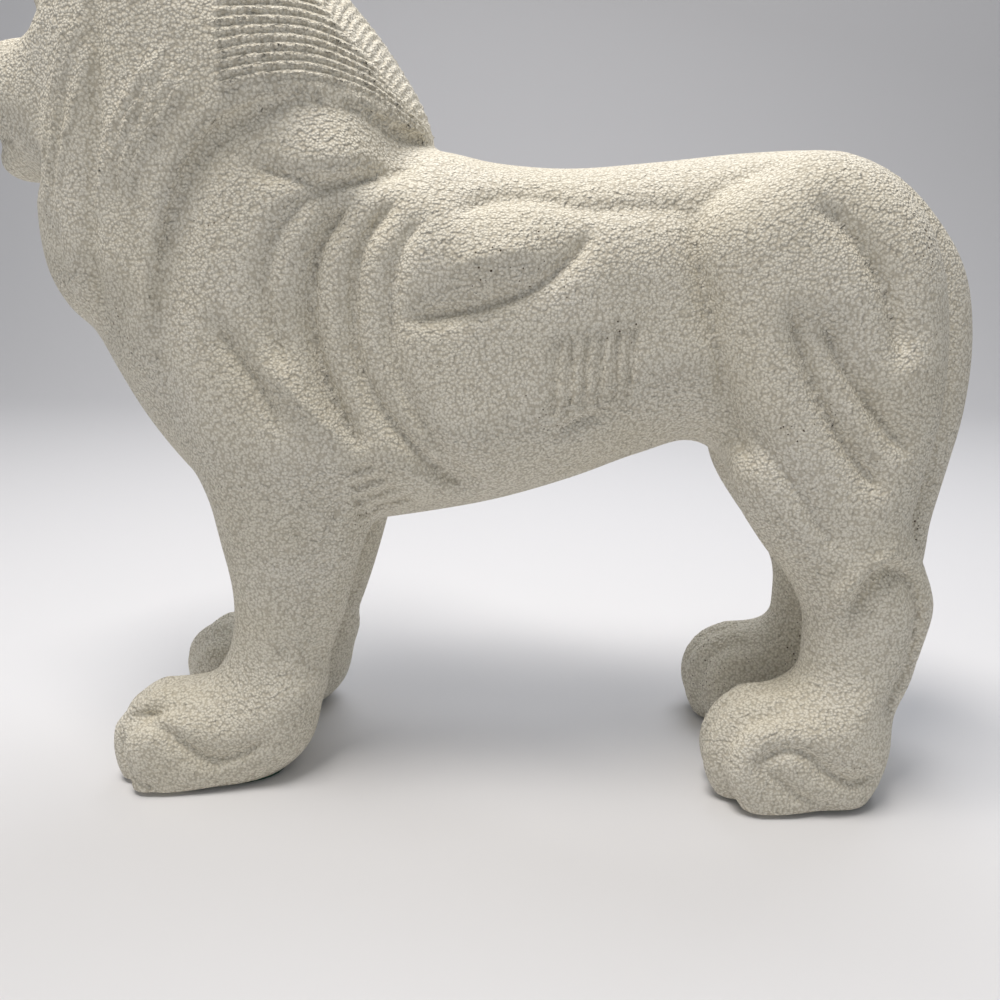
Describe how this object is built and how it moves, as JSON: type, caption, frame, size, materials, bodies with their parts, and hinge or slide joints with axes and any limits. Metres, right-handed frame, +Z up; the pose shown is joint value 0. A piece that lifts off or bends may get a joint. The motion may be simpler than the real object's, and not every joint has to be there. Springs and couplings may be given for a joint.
{
  "type": "lion statue",
  "caption": "Standing lion statue cast in pale crushed stone, with a ribbed mane, carved flank muscles and a hanging tail, on felt pads under its paws.",
  "frame": {"origin": "On the table, under the middle of the statue's box.", "axes": "The lion faces -X, +Z is up, its left side is to -Y."},
  "size_m": [0.3763, 0.1172, 0.3401],
  "materials": {
    "cast_stone": "matt, grainy, sandblasted cream",
    "felt": "dark green felt"
  },
  "bodies": {
    "root": {"lion": "cast_stone", "felt_front_left": "felt", "felt_front_right": "felt", "felt_hind_left": "felt", "felt_hind_right": "felt"}
  },
  "joints": []
}
